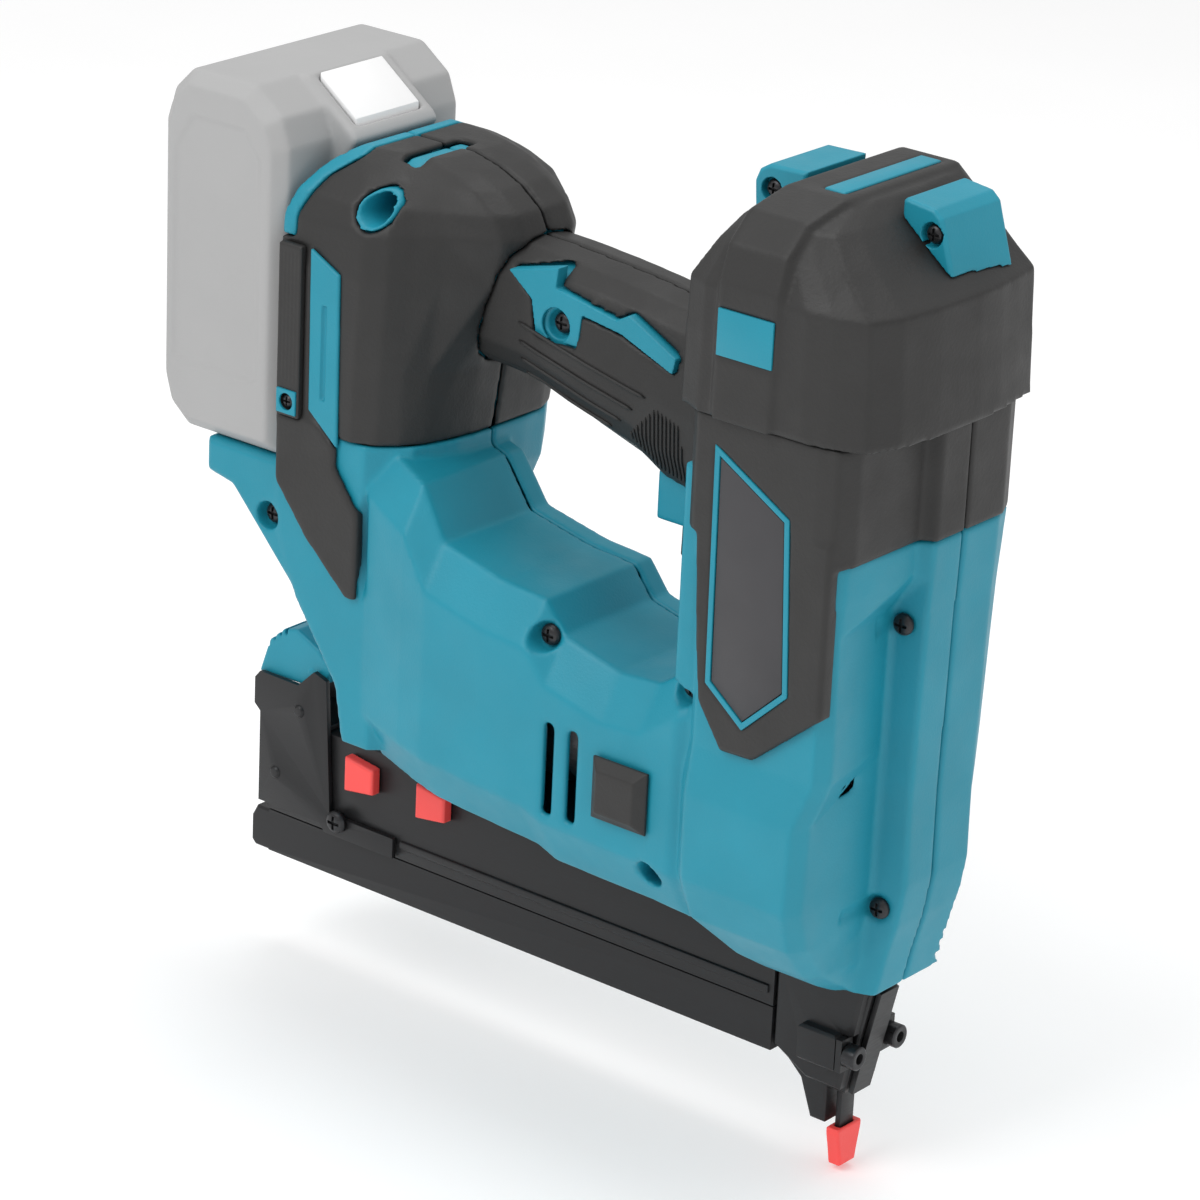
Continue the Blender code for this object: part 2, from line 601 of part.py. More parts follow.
def screw(name, seat, head_radius, length, shank_radius):
    """A pan-head screw along Y. The seat is the underside of its head, and the head faces -Y."""
    turned(name, seat, "Y", [(0, -2.2), (head_radius * 0.75, -2.2), (head_radius, -1.3), (head_radius, 0.0),
                             (shank_radius, 0.0), (shank_radius, length - 1.0), (0, length)], 12)


def screws():
    for name, (x, z, seat, _) in CROSS_SCREWS.items():
        screw(name, (x, seat, z), SCREW_HEAD_RADIUS, SCREW_END_Y - seat, SCREW_SHANK_RADIUS)
    screw("screw_bumper", (-179.0, -39.6, 191.0), 2.2, 0.9, 1.0)


# ---------------------------------------------------------------- drive

def drive():
    centre = (DRIVE_X, 0.0, 0.0)
    turned("cylinder", centre, "Z", [(5.0, 132.0), (18.0, 132.0), (18.0, 222.0), (BORE_RADIUS, 222.0),
                                     (BORE_RADIUS, 134.5), (5.0, 134.5)], 32)
    turned("cylinder_head", centre, "Z", [(0, 222.3), (18.0, 222.3), (20.0, 225.0), (20.0, 232.0), (12.0, 238.0),
                                          (0, 240.0)], 32)
    turned("return_bumper", centre, "Z", [(5.0, 134.8), (15.7, 134.8), (15.7, 141.0), (12.0, 147.0),
                                          (5.0, 147.0)], 32)
    turned("piston", centre, "Z", [(0, PISTON_LOW), (12.0, PISTON_LOW), (15.9, PISTON_LOW + 3.0),
                                   (15.9, PISTON_LOW + 11.0), (0, PISTON_LOW + 11.0)], 32)
    edge = [(BLADE_HALF_WIDTH, BLADE_LOW), (BLADE_HALF_WIDTH, PISTON_LOW - GAP),
            (-BLADE_HALF_WIDTH, PISTON_LOW - GAP)]
    for tooth in range(7):
        top = 165.0 - 9.0 * tooth
        edge += [(-BLADE_HALF_WIDTH, top), (-1.4, top), (-1.4, top - 4.0), (-BLADE_HALF_WIDTH, top - 5.0)]
    edge.append((-BLADE_HALF_WIDTH, BLADE_LOW))
    prism("driver_blade", edge, "X", DRIVE_X - BLADE_HALF_THICK, DRIVE_X + BLADE_HALF_THICK)


def lifter():
    teeth = 8
    outline = []
    for i in range(teeth):
        for step, radius in ((-0.34, 8.6), (-0.16, 11.5), (0.16, 11.5), (0.34, 8.6)):
            angle = 2.0 * math.pi * (i + step) / teeth
            outline.append((radius * math.cos(angle), radius * math.sin(angle)))
    outline = [(MOTOR_Y + a, MOTOR_Z + b) for a, b in outline]
    wheel = prism("lifter_wheel", outline, "X", DRIVE_X - 3.0, DRIVE_X + 3.0)
    join(wheel, rod("tool", (0, MOTOR_Y, MOTOR_Z), "X", 3.4, -70.0, DRIVE_X + 6.0, 16))


def power_train():
    axis = (0.0, MOTOR_Y, MOTOR_Z)
    turned("motor_can", axis, "X", [(14.4, -131.0), (MOTOR_RADIUS, -131.0), (MOTOR_RADIUS, -82.0),
                                    (14.4, -82.0)], 28)
    turned("motor_rotor", axis, "X", [(0, -141.0), (2.5, -141.0), (2.5, -139.0), (15.0, -139.0), (15.0, -133.5),
                                      (2.5, -133.5), (2.5, -127.0), (13.8, -127.0), (13.8, -88.0), (2.5, -88.0),
                                      (2.5, -76.0), (0, -76.0)], 24)
    turned("gearbox", axis, "X", [(3.8, -80.0), (19.0, -80.0), (19.0, -50.0), (13.0, -46.0), (13.0, -38.0),
                                  (3.8, -38.0)], 28)
    lifter()


def electronics():
    block("controller_board", (-168.0, -26.0, 133.0), (-164.5, 26.0, 176.0), 0.4)
    switch = block("trigger_switch", (-96.0, -8.0, 208.0), (-74.0, 8.0, 231.0), 0.8)
    join(switch, rod("tool", (0.0, 0.0, 213.0), "X", 2.2, -75.0, -70.0, 12))
    terminals = block("terminal_block", (-180.0, -20.0, 176.6), (-176.2, 20.0, 183.0))
    for y in (-10.0, 0.0, 10.0):
        join(terminals, block("tool", (-179.2, y - 0.4, 182.0), (-176.8, y + 0.4, 195.0)))


# ---------------------------------------------------------------- nose and magazine

def nose():
    side = [(10.0, 66.0), (10.6, 58.0), (3.2, 24.2), (-2.9, 24.2), (-2.9, 13.0), (-8.0, 13.0), (-12.0, 24.0),
            (-19.8, 31.0), (-19.8, 66.0)]
    body = prism("nose_body", side, "Y", -5.8, 5.8, 0.6, 0.6)
    cheeks = [(10.2, 61.0), (3.6, 26.5), (-8.0, 26.5), (-19.8, 33.0), (-19.8, 61.0)]
    wide = cut(prism("tool", cheeks, "Y", -9.2, 9.2, 1.0, 1.0), block("ear", (3.9, -20.0, 33.7), (20.0, 20.0, 44.3)))
    join(body, wide, block("tool", (-9.0, -12.5, 33.5), (3.9, 12.5, 44.5), 0.8))
    driver_way = block("tool", (DRIVE_X - 0.95, -3.0, 0.0), (DRIVE_X + 0.95, 3.0, 90.0))
    arm_way = block("tool", (-1.3, -3.6, 0.0), (1.4, 3.6, 90.0))
    cut(body, driver_way, arm_way)
    cut(body, block("tool", (-30.0, -CHANNEL_HALF, 33.8), (DRIVE_X, CHANNEL_HALF, 63.0)))
    plate_side = [(12.6, 57.6), (5.2, 24.0), (3.6, 24.4), (11.0, 57.9)]
    plate = prism("nose_plate", plate_side, "Y", -4.2, 4.2)
    join(plate, block("tool", (4.2, -12.5, 34.0), (6.2, 12.5, 44.0)))
    cut(plate, prism("tool", [(3.6 - GAP, 24.4), (11.0 - GAP, 57.9), (-5.0, 57.9), (-5.0, 20.0)], "Y", -7.3, 7.3))
    for name, y in (("nose_bolt_near", -9.6), ("nose_bolt_far", 9.6)):
        centre = (0.0, y, 39.0)
        cut(body, rod("tool", centre, "X", 2.1, -6.0, 10.0, 16))
        cut(plate, rod("tool", centre, "X", 2.1, -6.0, 10.0, 16))
        turned(name, centre, "X", [(0, -5.5), (1.9, -4.8), (1.9, 6.5), (3.5, 6.5), (3.5, 10.2), (3.1, 10.5),
                                   (1.6, 10.5), (1.6, 8.0), (0, 8.0)], 18)


def contact_arm():
    arm = block("contact_arm", (-0.9, -3.2, 6.0), (0.9, 3.2, 76.0))
    join(arm, block("tool", (0.0, -3.2, 71.0), (10.5, 3.2, 73.0)))
    tip = [(-3.5, 0.0), (3.5, 0.0), (4.2, 4.0), (5.5, 10.0), (5.5, 12.0), (-5.5, 12.0), (-5.5, 10.0), (-4.2, 4.0)]
    shoe = prism("contact_tip", tip, "X", -2.25, 2.25, 0.4, 0.4)
    cut(shoe, block("tool", (-1.2, -3.5, 5.7), (1.2, 3.5, 20.0)))
    coil("contact_spring", (6.5, 0.0, 73.3), "Z", 2.8, 0.4, 58.0, 9)


def magazine():
    half = TRACK_HALF
    track_section = [(-half, TRACK_SPLIT + GAP), (-half, TRACK_TOP), (half, TRACK_TOP), (half, TRACK_SPLIT + GAP),
                     (6.4, TRACK_SPLIT + GAP), (6.4, TRACK_TOP - 2.5), (-6.4, TRACK_TOP - 2.5),
                     (-6.4, TRACK_SPLIT + GAP)]
    track = prism("magazine_track", track_section, "X", TRACK_REAR, TRACK_FRONT)
    join(track, block("tool", (-159.0, -10.0, 48.0), (-22.0, -8.5, 50.6), 0.3))
    cut(track, rod("tool", (-182.4, 0.0, 50.0), "Y", 1.8, -12.0, -6.0, 12),
        rod("tool", (-210.0, 0.0, 52.0), "Y", 1.8, -12.0, -6.0, 12))
    cover_section = [(-half, TRACK_LOW), (half, TRACK_LOW), (half, TRACK_SPLIT), (6.1, TRACK_SPLIT), (6.1, 70.0),
                     (CHANNEL_HALF, 70.0), (CHANNEL_HALF, 33.5), (-CHANNEL_HALF, 33.5), (-CHANNEL_HALF, 70.0),
                     (-6.1, 70.0), (-6.1, TRACK_SPLIT), (-half, TRACK_SPLIT)]
    cover = prism("magazine_cover", cover_section, "X", -212.0, TRACK_FRONT)
    join(cover, prism("tool", [(-219.0, 32.0), (-219.0, 40.0), (-217.0, 43.7), (-206.0, 43.7), (-206.0, TRACK_LOW),
                               (-217.5, TRACK_LOW)], "Y", -half, half, 0.6, 0.6))
    prism("pusher", [(-38.0, 35.0), (-21.5, 35.0), (-21.5, 68.0), (-30.0, 68.0), (-38.0, 60.0)], "Y", -2.9, 2.9)
    coil("pusher_spring", (-205.5, 0.0, 52.0), "X", 2.3, 0.4, 167.0, 13)
    bracket()
    screw("screw_magazine", (-182.4, -11.0 - GAP, 50.0), 3.6, 4.5, 1.5)
    tip = [(-5.6, -5.6), (5.6, -4.0), (5.6, 4.0), (-5.6, 5.6)]
    for name, x in (("spare_tip_rear", -173.4), ("spare_tip_front", -145.5)):
        outline = [(x + a, 67.2 + b) for a, b in tip]
        prism(name, outline, "Y", -13.0, -TRACK_HALF - GAP, 0.6)


def bracket():
    """The rear bracket, a bent plate astride the track."""
    outline = [(-214.7, 47.0), (-214.7, 76.0), (-217.0, 78.0), (-217.0, 86.4), (-215.0, 88.8), (-199.7, 88.6),
               (-193.6, 94.6), (-188.6, 93.0), (-186.0, 51.0), (-161.0, 51.0), (-161.0, 44.6), (-188.0, 44.6),
               (-190.0, 47.0)]
    inner = TRACK_HALF + GAP
    plate = prism("rear_bracket", outline, "Y", -inner - 1.6, -inner)
    far_side = [point for point in outline if point[0] < -187.0]
    join(plate, prism("tool", far_side, "Y", inner, inner + 1.6),
         block("tool", (-214.0, -inner - 0.8, TRACK_TOP + GAP), (-189.0, inner + 0.8, TRACK_TOP + 1.8)))
    for x, z in ((-208.0, 58.0), (-199.0, 80.5)):
        join(plate, turned("tool", (x, -inner - 1.2, z), "Y", [(0, -1.2), (1.4, -1.2), (2.0, -0.5), (2.0, 0.6),
                                                               (0, 0.6)], 12))
    cut(plate, rod("tool", (-182.4, 0.0, 50.0), "Y", 1.8, -14.0, -9.0, 12))


def release_lever():
    x, _, z = LATCH_PIVOT
    outline = [(-217.5, 87.5), (-213.7, 98.6), (-208.0, 103.6), (-202.6, 105.0), (-194.0, 101.0), (-188.3, 95.8),
               (-192.0, 90.0), (-200.0, 88.0)]
    lever = prism("release_lever", outline, "Y", -8.7, 8.7, 0.6, 0.6)
    for i in range(5):
        share = i / 4.0
        at_x, at_z = -216.5 + 9.5 * share, 96.0 + 9.0 * math.sin(share * 1.3)
        cut(lever, block("tool", (at_x - 0.5, -20.0, at_z - 2.6), (at_x + 0.5, 20.0, at_z + 9.0)))
    join(lever, rod("tool", (x, 0.0, z), "Y", 1.5, -9.1, 9.1, 12))


# ---------------------------------------------------------------- trigger and pack

def trigger():
    outline = [(-66.0, 197.0), (-66.2, 185.0), (-64.6, 177.0), (-64.8, 166.5), (-61.5, 165.0), (-58.0, 172.0),
               (-54.0, 182.0), (-49.0, 190.0), (-44.5, 197.0), (-44.5, 202.0), (-49.0, 204.5), (-62.0, 204.5)]
    prism("trigger", outline, "Y", -5.6, 5.6, 1.0, 1.0)


def slope_slab(name, high, low, x_rear, x_front, near, far):
    """A slab that lies along the pack's front slope, between two heights above it."""
    outline = []
    for x, rise in ((x_rear, low), (x_rear, high), (x_front, high), (x_front, low)):
        outline.append((x, SLOPE_TOP[1] + SLOPE_FALL * (SLOPE_TOP[0] - x) + rise))
    return prism(name, outline, "Y", near, far, 0.4, 0.4)


SLOPE_TOP = (-197.0, 278.0)
SLOPE_FALL = 0.717


def battery():
    side = [(-222.0, 171.3), (-229.0, 177.0), (-231.8, 186.0), (-232.2, 262.0), (-229.0, 271.5), (-222.5, 278.0),
            (-199.0, 278.0), (-188.5, 270.5), (-185.3, 262.0), (-185.3, 171.3)]
    case = prism("battery_pack", side, "Y", -39.5, 39.5, 4.0, 4.0)
    overhang = [(-200.0, 250.0), (-200.0, 277.0), SLOPE_TOP, (-178.6, 264.8), (-176.9, 262.6), (-178.4, 260.0),
                (-182.0, 254.0), (-185.3, 246.0)]
    join(case, prism("tool", overhang, "Y", -17.5, 18.5, 0.8, 0.8))
    foot = rail_slot("tool", 0.0)
    cut(foot, block("tool", (-FAR_AWAY, -FAR_AWAY, 0.0), (FAR_AWAY, FAR_AWAY, 184.0)),
        block("tool", (-FAR_AWAY, -FAR_AWAY, 244.0), (FAR_AWAY, FAR_AWAY, FAR_AWAY + 10.0)))
    join(case, foot)
    for y in (-10.0, 0.0, 10.0):
        cut(case, block("tool", (-180.4, y - 1.2, 150.0), (-170.0, y + 1.2, 198.0)))
    cut(case, slope_slab("tool", 20.0, -5.2, -196.0, -180.6, -13.0, 14.8))
    slope_slab("pack_button", 0.9, -2.2, -195.5, -181.1, -12.5, 14.3)


# ---------------------------------------------------------------- finish

MATERIAL_OF = {
    "teal": ["housing_near", "housing_far", "label_frame", "side_panel", "grip_inlay", "side_window", "top_strip",
             "cap_clip_front", "cap_clip_rear", "release_lever"],
    "black": ["head_cap", "collar_near", "collar_far", "dome_skin_near", "dome_skin_far", "grip_skin_near",
              "grip_skin_far", "side_bumper", "motor_pad"],
    "dark": ["label_plate", "trigger", "magazine_track", "magazine_cover", "rear_bracket", "nose_body",
             "nose_plate", "contact_arm", "trigger_switch", "terminal_block", "pusher"],
    "bolt": ["screw_cap_clip_front", "screw_cap_clip_rear", "screw_bumper", "screw_magazine", "nose_bolt_near",
             "nose_bolt_far", *CROSS_SCREWS],
    "steel": ["motor_can", "driver_blade", "lifter_wheel", "contact_spring", "pusher_spring"],
    "alloy": ["cylinder", "cylinder_head", "piston", "gearbox"],
    "copper": ["motor_rotor"],
    "bumper": ["return_bumper"],
    "coral": ["contact_tip", "spare_tip_rear", "spare_tip_front"],
    "pack": ["battery_pack"],
    "button": ["pack_button"],
    "board": ["controller_board"],
}
ROUND_PIECES = ["cylinder", "cylinder_head", "return_bumper", "piston", "motor_can", "motor_rotor", "gearbox",
                "contact_spring", "pusher_spring", "nose_bolt_near", "nose_bolt_far", *CROSS_SCREWS,
                "screw_cap_clip_front", "screw_cap_clip_rear", "screw_bumper", "screw_magazine", "lifter_wheel"]
ORIGINS = {
    "trigger": TRIGGER_PIVOT, "release_lever": LATCH_PIVOT, "motor_rotor": (-100.0, MOTOR_Y, MOTOR_Z),
    "lifter_wheel": (DRIVE_X, MOTOR_Y, MOTOR_Z), "piston": (DRIVE_X, 0.0, PISTON_LOW),
    "driver_blade": (DRIVE_X, 0.0, PISTON_LOW),
}


def make_material(node, key):
    colour, roughness, metallic = COLOURS[key]
    material = bpy.data.materials.new(node + "_" + key)
    material.use_nodes = True
    shader = material.node_tree.nodes["Principled BSDF"]
    shader.inputs["Base Color"].default_value = (*colour, 1.0)
    shader.inputs["Roughness"].default_value = roughness
    shader.inputs["Metallic"].default_value = metallic
    return material


def smooth_by_angle(mesh, limit):
    """Shades faces smooth, and keeps edges sharper than the limit as creases."""
    work = bmesh.new()
    work.from_mesh(mesh)
    for face in work.faces:
        face.smooth = True
    for edge in work.edges:
        edge.smooth = len(edge.link_faces) == 2 and edge.calc_face_angle(0.0) < limit
    work.to_mesh(mesh)
    work.free()


def move_origin(obj, origin):
    """Puts an object's origin on its joint's axis, and leaves its shape where it is."""
    shift = [value * MM for value in origin]
    for vertex in obj.data.vertices:
        vertex.co = [c - s for c, s in zip(vertex.co, shift)]
    obj.location = shift


def finish():
    for key, nodes in MATERIAL_OF.items():
        for node in nodes:
            obj = bpy.data.objects[node]
            obj.data.name = node
            obj.data.materials.clear()
            obj.data.materials.append(make_material(node, key))
    for node in ROUND_PIECES:
        smooth_by_angle(bpy.data.objects[node].data, math.radians(40.0))
    for node, origin in ORIGINS.items():
        move_origin(bpy.data.objects[node], origin)


def main():
    for obj in list(bpy.data.objects):
        bpy.data.objects.remove(obj)
    clamshell()
    dome_skin()
    grip_skin()
    collar()
    label()
    trims()
    head_cap()
    cap_clip("cap_clip_front", FRONT_CLIP, 17.8, 280.2)
    cap_clip("cap_clip_rear", REAR_CLIP, -34.0, 280.6)
    screws()
    drive()
    power_train()
    electronics()
    nose()
    contact_arm()
    magazine()
    release_lever()
    trigger()
    battery()
    finish()


main()
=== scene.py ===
"""Looks for the cordless brad nailer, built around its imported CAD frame.

Lengths here are millimetres until a mesh is made, as in the part's own source: +X runs to the front
of the head, +Y to the tool's left, +Z up, with the origin under the contact tip.
"""
import json
import math

import bmesh
import bpy
from mathutils import Matrix, Vector
from mathutils.bvhtree import BVHTree


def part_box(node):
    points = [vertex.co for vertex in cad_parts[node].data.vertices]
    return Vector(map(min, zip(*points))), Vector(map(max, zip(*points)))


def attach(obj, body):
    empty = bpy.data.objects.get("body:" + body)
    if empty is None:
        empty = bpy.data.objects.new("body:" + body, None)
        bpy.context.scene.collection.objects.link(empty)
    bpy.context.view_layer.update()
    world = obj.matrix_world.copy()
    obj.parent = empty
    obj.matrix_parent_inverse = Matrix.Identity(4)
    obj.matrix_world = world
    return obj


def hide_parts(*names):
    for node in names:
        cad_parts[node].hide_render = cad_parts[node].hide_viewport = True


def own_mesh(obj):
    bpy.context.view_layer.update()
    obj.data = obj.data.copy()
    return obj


MM = 0.001
# The grid that the large and the small mouldings are rounded on.
SHELL_VOXEL = 0.8
TRIM_VOXEL = 0.35
# How far the pack's button can sink into its case.
BUTTON_ROOM = 4.0
# How far the contact arm's spring and the pusher's spring shorten.
CONTACT_TRAVEL = 9.0
PUSHER_TRAVEL = 150.0
# Fine ribs on the grip: the long finger ribs, and the patch by the trigger.
RIB_RADIUS = 0.55
PATCH_RIB_RADIUS = 0.42
PATCH_PITCH = 1.35
RIB_REAR_X = -116.0

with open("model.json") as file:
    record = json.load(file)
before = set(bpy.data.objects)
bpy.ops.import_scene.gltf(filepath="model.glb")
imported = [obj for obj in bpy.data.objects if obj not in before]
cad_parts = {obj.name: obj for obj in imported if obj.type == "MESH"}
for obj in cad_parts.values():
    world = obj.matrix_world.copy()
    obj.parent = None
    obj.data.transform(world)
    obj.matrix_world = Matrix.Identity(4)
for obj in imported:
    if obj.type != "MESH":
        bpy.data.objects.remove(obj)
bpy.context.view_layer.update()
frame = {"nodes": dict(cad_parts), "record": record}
SLOT_OF = {entry["node"]: entry["material_slot"] for entry in frame["record"]["subparts"]}
BODIES = frame["record"]["behaviour"]["bodies"]
BODY_OF = {node: body for body, nodes in BODIES.items() for node in nodes}
# Nodes whose look isn't their slot's own.
LOOK_OF = {"label_plate": "label"}


# ---------------------------------------------------------------- materials

class Nodes:
    """A short way to wire a Principled material."""

    def __init__(self, name, roughness, metallic=0.0):
        self.material = bpy.data.materials.new(name)
        self.material.use_nodes = True
        self.tree = self.material.node_tree
        self.shader = self.tree.nodes["Principled BSDF"]
        self.shader.inputs["Metallic"].default_value = metallic
        self.shader.inputs["Roughness"].default_value = roughness
        self.place = self.tree.nodes.new("ShaderNodeTexCoord").outputs["Object"]

    def add(self, kind, **inputs):
        node = self.tree.nodes.new(kind)
        for key, value in inputs.items():
            socket = node.inputs[key.replace("_", " ")]
            if isinstance(value, bpy.types.NodeSocket):
                self.tree.links.new(value, socket)
            else:
                socket.default_value = value
        return node

    def noise(self, scale, detail=3.0, roughness=0.5):
        return self.add("ShaderNodeTexNoise", Vector=self.place, Scale=scale, Detail=detail,
                        Roughness=roughness).outputs["Fac"]

    def remap(self, value, low, high):
        node = self.add("ShaderNodeMapRange", Value=value, To_Min=low, To_Max=high)
        node.inputs["From Min"].default_value = 0.3
        node.inputs["From Max"].default_value = 0.7
        return node.outputs["Result"]

    def blend(self, factor, first, second):
        node = self.tree.nodes.new("ShaderNodeMix")
        node.data_type = "RGBA"
        self.tree.links.new(factor, node.inputs[0])
        node.inputs[6].default_value = (*first, 1.0)
        node.inputs[7].default_value = (*second, 1.0)
        return node.outputs[2]

    def colour(self, socket):
        self.tree.links.new(socket, self.shader.inputs["Base Color"])

    def roughness(self, socket):
        self.tree.links.new(socket, self.shader.inputs["Roughness"])

    def bump(self, height, distance, strength=1.0):
        node = self.add("ShaderNodeBump", Height=height, Distance=distance, Strength=strength)
        self.tree.links.new(node.outputs["Normal"], self.shader.inputs["Normal"])


def moulded(name, colour, roughness, grain=1400.0, depth=0.00006, specular=0.5, mottle=0.05):
    """Moulded plastic or elastomer, with a fine grain, faint mottling and an uneven gloss."""
    nodes = Nodes(name, roughness)
    nodes.shader.inputs["Specular IOR Level"].default_value = specular
    dark = tuple(c * (1.0 - mottle) for c in colour)
    light = tuple(min(1.0, c * (1.0 + mottle)) for c in colour)
    nodes.colour(nodes.blend(nodes.remap(nodes.noise(38.0, 5.0), 0.0, 1.0), dark, light))
    nodes.roughness(nodes.remap(nodes.noise(90.0, 4.0), roughness - 0.05, roughness + 0.06))
    nodes.bump(nodes.noise(grain, 2.0, 0.6), depth)
    return nodes.material


def metal(name, colour, roughness, metallic=1.0):
    """Machined or blackened metal, brushed in one direction."""
    nodes = Nodes(name, roughness, metallic)
    mapping = nodes.add("ShaderNodeMapping", Vector=nodes.place)
    mapping.inputs["Scale"].default_value = (1.0, 1.0, 14.0)
    place = mapping.outputs["Vector"]
    grain = nodes.add("ShaderNodeTexNoise", Vector=place, Scale=260.0, Detail=4.0).outputs["Fac"]
    light = tuple(min(1.0, c * 1.25) for c in colour)
    nodes.colour(nodes.blend(nodes.remap(grain, 0.0, 1.0), colour, light))
    nodes.roughness(nodes.remap(grain, roughness - 0.06, roughness + 0.08))
    nodes.bump(grain, 0.00002)
    return nodes.material


MATERIALS = {
    "teal": moulded("teal_nylon", (0.010, 0.252, 0.350), 0.46, specular=0.38),
    "black": moulded("black_elastomer", (0.022, 0.0215, 0.021), 0.52, 900.0, 0.00009, 0.42),
    "dark": moulded("black_nylon", (0.008, 0.008, 0.008), 0.42, specular=0.4),
    "label": moulded("label_film", (0.042, 0.041, 0.045), 0.50, 2600.0, 0.00002),
    "blackened": metal("blackened_steel", (0.016, 0.016, 0.017), 0.40, 0.35),
    "steel": metal("ground_steel", (0.42, 0.42, 0.43), 0.32),
    "bolt": metal("black_oxide", (0.035, 0.035, 0.037), 0.33, 0.7),
    "alloy": metal("cast_alloy", (0.55, 0.55, 0.57), 0.45),
    "copper": metal("copper_winding", (0.60, 0.28, 0.12), 0.38, 0.9),
    "bumper": moulded("bumper_rubber", (0.05, 0.05, 0.05), 0.80),
    "coral": moulded("coral_nylon", (1.0, 0.075, 0.068), 0.42),
    "pack": moulded("ghost_grey", (0.39, 0.39, 0.39), 0.60, 1800.0, 0.00003, 0.30, 0.015),
    "button": moulded("ghost_white", (0.86, 0.86, 0.86), 0.60, 1800.0, 0.00003, 0.30, 0.015),
    "board": moulded("circuit_board", (0.02, 0.16, 0.05), 0.50),
}


# ---------------------------------------------------------------- shapes

def new_object(name, points, faces):
    mesh = bpy.data.meshes.new(name)
    mesh.from_pydata([(x * MM, y * MM, z * MM) for x, y, z in points], [], faces)
    work = bmesh.new()
    work.from_mesh(mesh)
    bmesh.ops.recalc_face_normals(work, faces=work.faces[:])
    work.to_mesh(mesh)
    work.free()
    obj = bpy.data.objects.new(name, mesh)
    bpy.context.collection.objects.link(obj)
    return obj


def loft(name, rings):
    """Skins equal closed rings of points, and closes both ends."""
    count = len(rings[0])
    points = [point for ring in rings for point in ring]
    faces = [tuple(range(count)), tuple(range(len(points) - count, len(points)))]
    for level in range(len(rings) - 1):
        base = level * count
        for i in range(count):
            j = (i + 1) % count
            faces.append((base + i, base + j, base + count + j, base + count + i))
    return new_object(name, points, faces)


def plate(name, outline, low, high):
    """A flat plate across the tool, from an X, Z outline and its two Y faces."""
    return loft(name, [[(x, y, z) for x, z in outline] for y in (low, high)])


def block(name, low, high):
    outline = [(low[0], low[1]), (high[0], low[1]), (high[0], high[1]), (low[0], high[1])]
    return loft(name, [[(x, y, z) for x, y in outline] for z in (low[2], high[2])])


def turned(name, centre, profile, sides=32):
    """A solid of revolution along Y, from (radius, Y) pairs."""
    points = []
    rings = []
    for radius, along in profile:
        ring = []
        for i in range(sides if radius else 1):
            angle = 2.0 * math.pi * (i + 0.5) / sides
            a, b = radius * math.cos(angle), radius * math.sin(angle)
            ring.append(len(points))
            points.append(tuple(c + o for c, o in zip(centre, (b, along, a))))
        rings.append(ring)
    faces = []
    for lower, upper in zip(rings, rings[1:]):
        for i in range(sides):
            j = (i + 1) % sides
            corners = [lower[i % len(lower)], lower[j % len(lower)],
                       upper[j % len(upper)], upper[i % len(upper)]]
            faces.append(tuple(dict.fromkeys(corners)))
    return new_object(name, points, faces)


def rod(name, centre, radius, low, high):
    return turned(name, centre, [(0, low), (radius, low), (radius, high), (0, high)])


def settle(obj):
    """Applies every modifier on an object."""
    graph = bpy.context.evaluated_depsgraph_get()
    mesh = bpy.data.meshes.new_from_object(obj.evaluated_get(graph))
    obj.modifiers.clear()
    obj.data = mesh
    return obj


def cut(body, *tools):
    """Takes each tool's shape out of a body."""
    for tool in tools:
        step = body.modifiers.new("cut", "BOOLEAN")
        step.operation = "DIFFERENCE"
        step.solver = "EXACT"
        step.object = tool
        settle(body)
        bpy.data.objects.remove(tool)
    return body


def shade(obj, limit_deg=None):
    """Smooth shading, with a crease where faces meet at more than the limit."""
    work = bmesh.new()
    work.from_mesh(obj.data)
    for face in work.faces:
        face.smooth = True
    for edge in work.edges:
        edge.smooth = limit_deg is None or (
            len(edge.link_faces) == 2 and edge.calc_face_angle(0.0) < math.radians(limit_deg))
    work.to_mesh(obj.data)
    work.free()
    return obj


def soften(obj, voxel, passes):
    """Rounds every edge, as a mould does: an even fine skin, then a light smoothing."""
    skin = obj.modifiers.new("skin", "REMESH")
    skin.mode = "VOXEL"
    skin.voxel_size = voxel * MM
    skin.adaptivity = 0.0
    relax = obj.modifiers.new("relax", "SMOOTH")
    relax.factor = 0.5
    relax.iterations = passes
    settle(obj)
    return shade(obj)


def edge_round(obj, width):
    """Rounds the sharp edges and leaves the faces flat."""
    step = obj.modifiers.new("edge", "BEVEL")
    step.width = width * MM
    step.segments = 2
    step.limit_method = "ANGLE"
    step.angle_limit = math.radians(28.0)
    settle(obj)
    return shade(obj, 35.0)


def start_from(node):
    """A free copy of a CAD node's mesh, with its split corners joined again."""
    obj = bpy.data.objects.new("look_" + node, frame["nodes"][node].data.copy())
    bpy.context.collection.objects.link(obj)
    work = bmesh.new()
    work.from_mesh(obj.data)
    bmesh.ops.remove_doubles(work, verts=work.verts[:], dist=0.000002)
    work.to_mesh(obj.data)
    work.free()
    return obj


def stand_for(obj, node):
    """Gives a finished piece the material of its slot and its body, and hides the CAD node it stands for.
    """
    obj.data.materials.clear()
    obj.data.materials.append(MATERIALS[LOOK_OF.get(node, SLOT_OF[node])])
    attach(obj, BODY_OF[node])
    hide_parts(node)
    return obj


# ---------------------------------------------------------------- pieces

def shells():
    """The two halves of the teal clamshell."""
    for node in ("housing_near", "housing_far"):
        stand_for(soften(start_from(node), SHELL_VOXEL, 5), node)


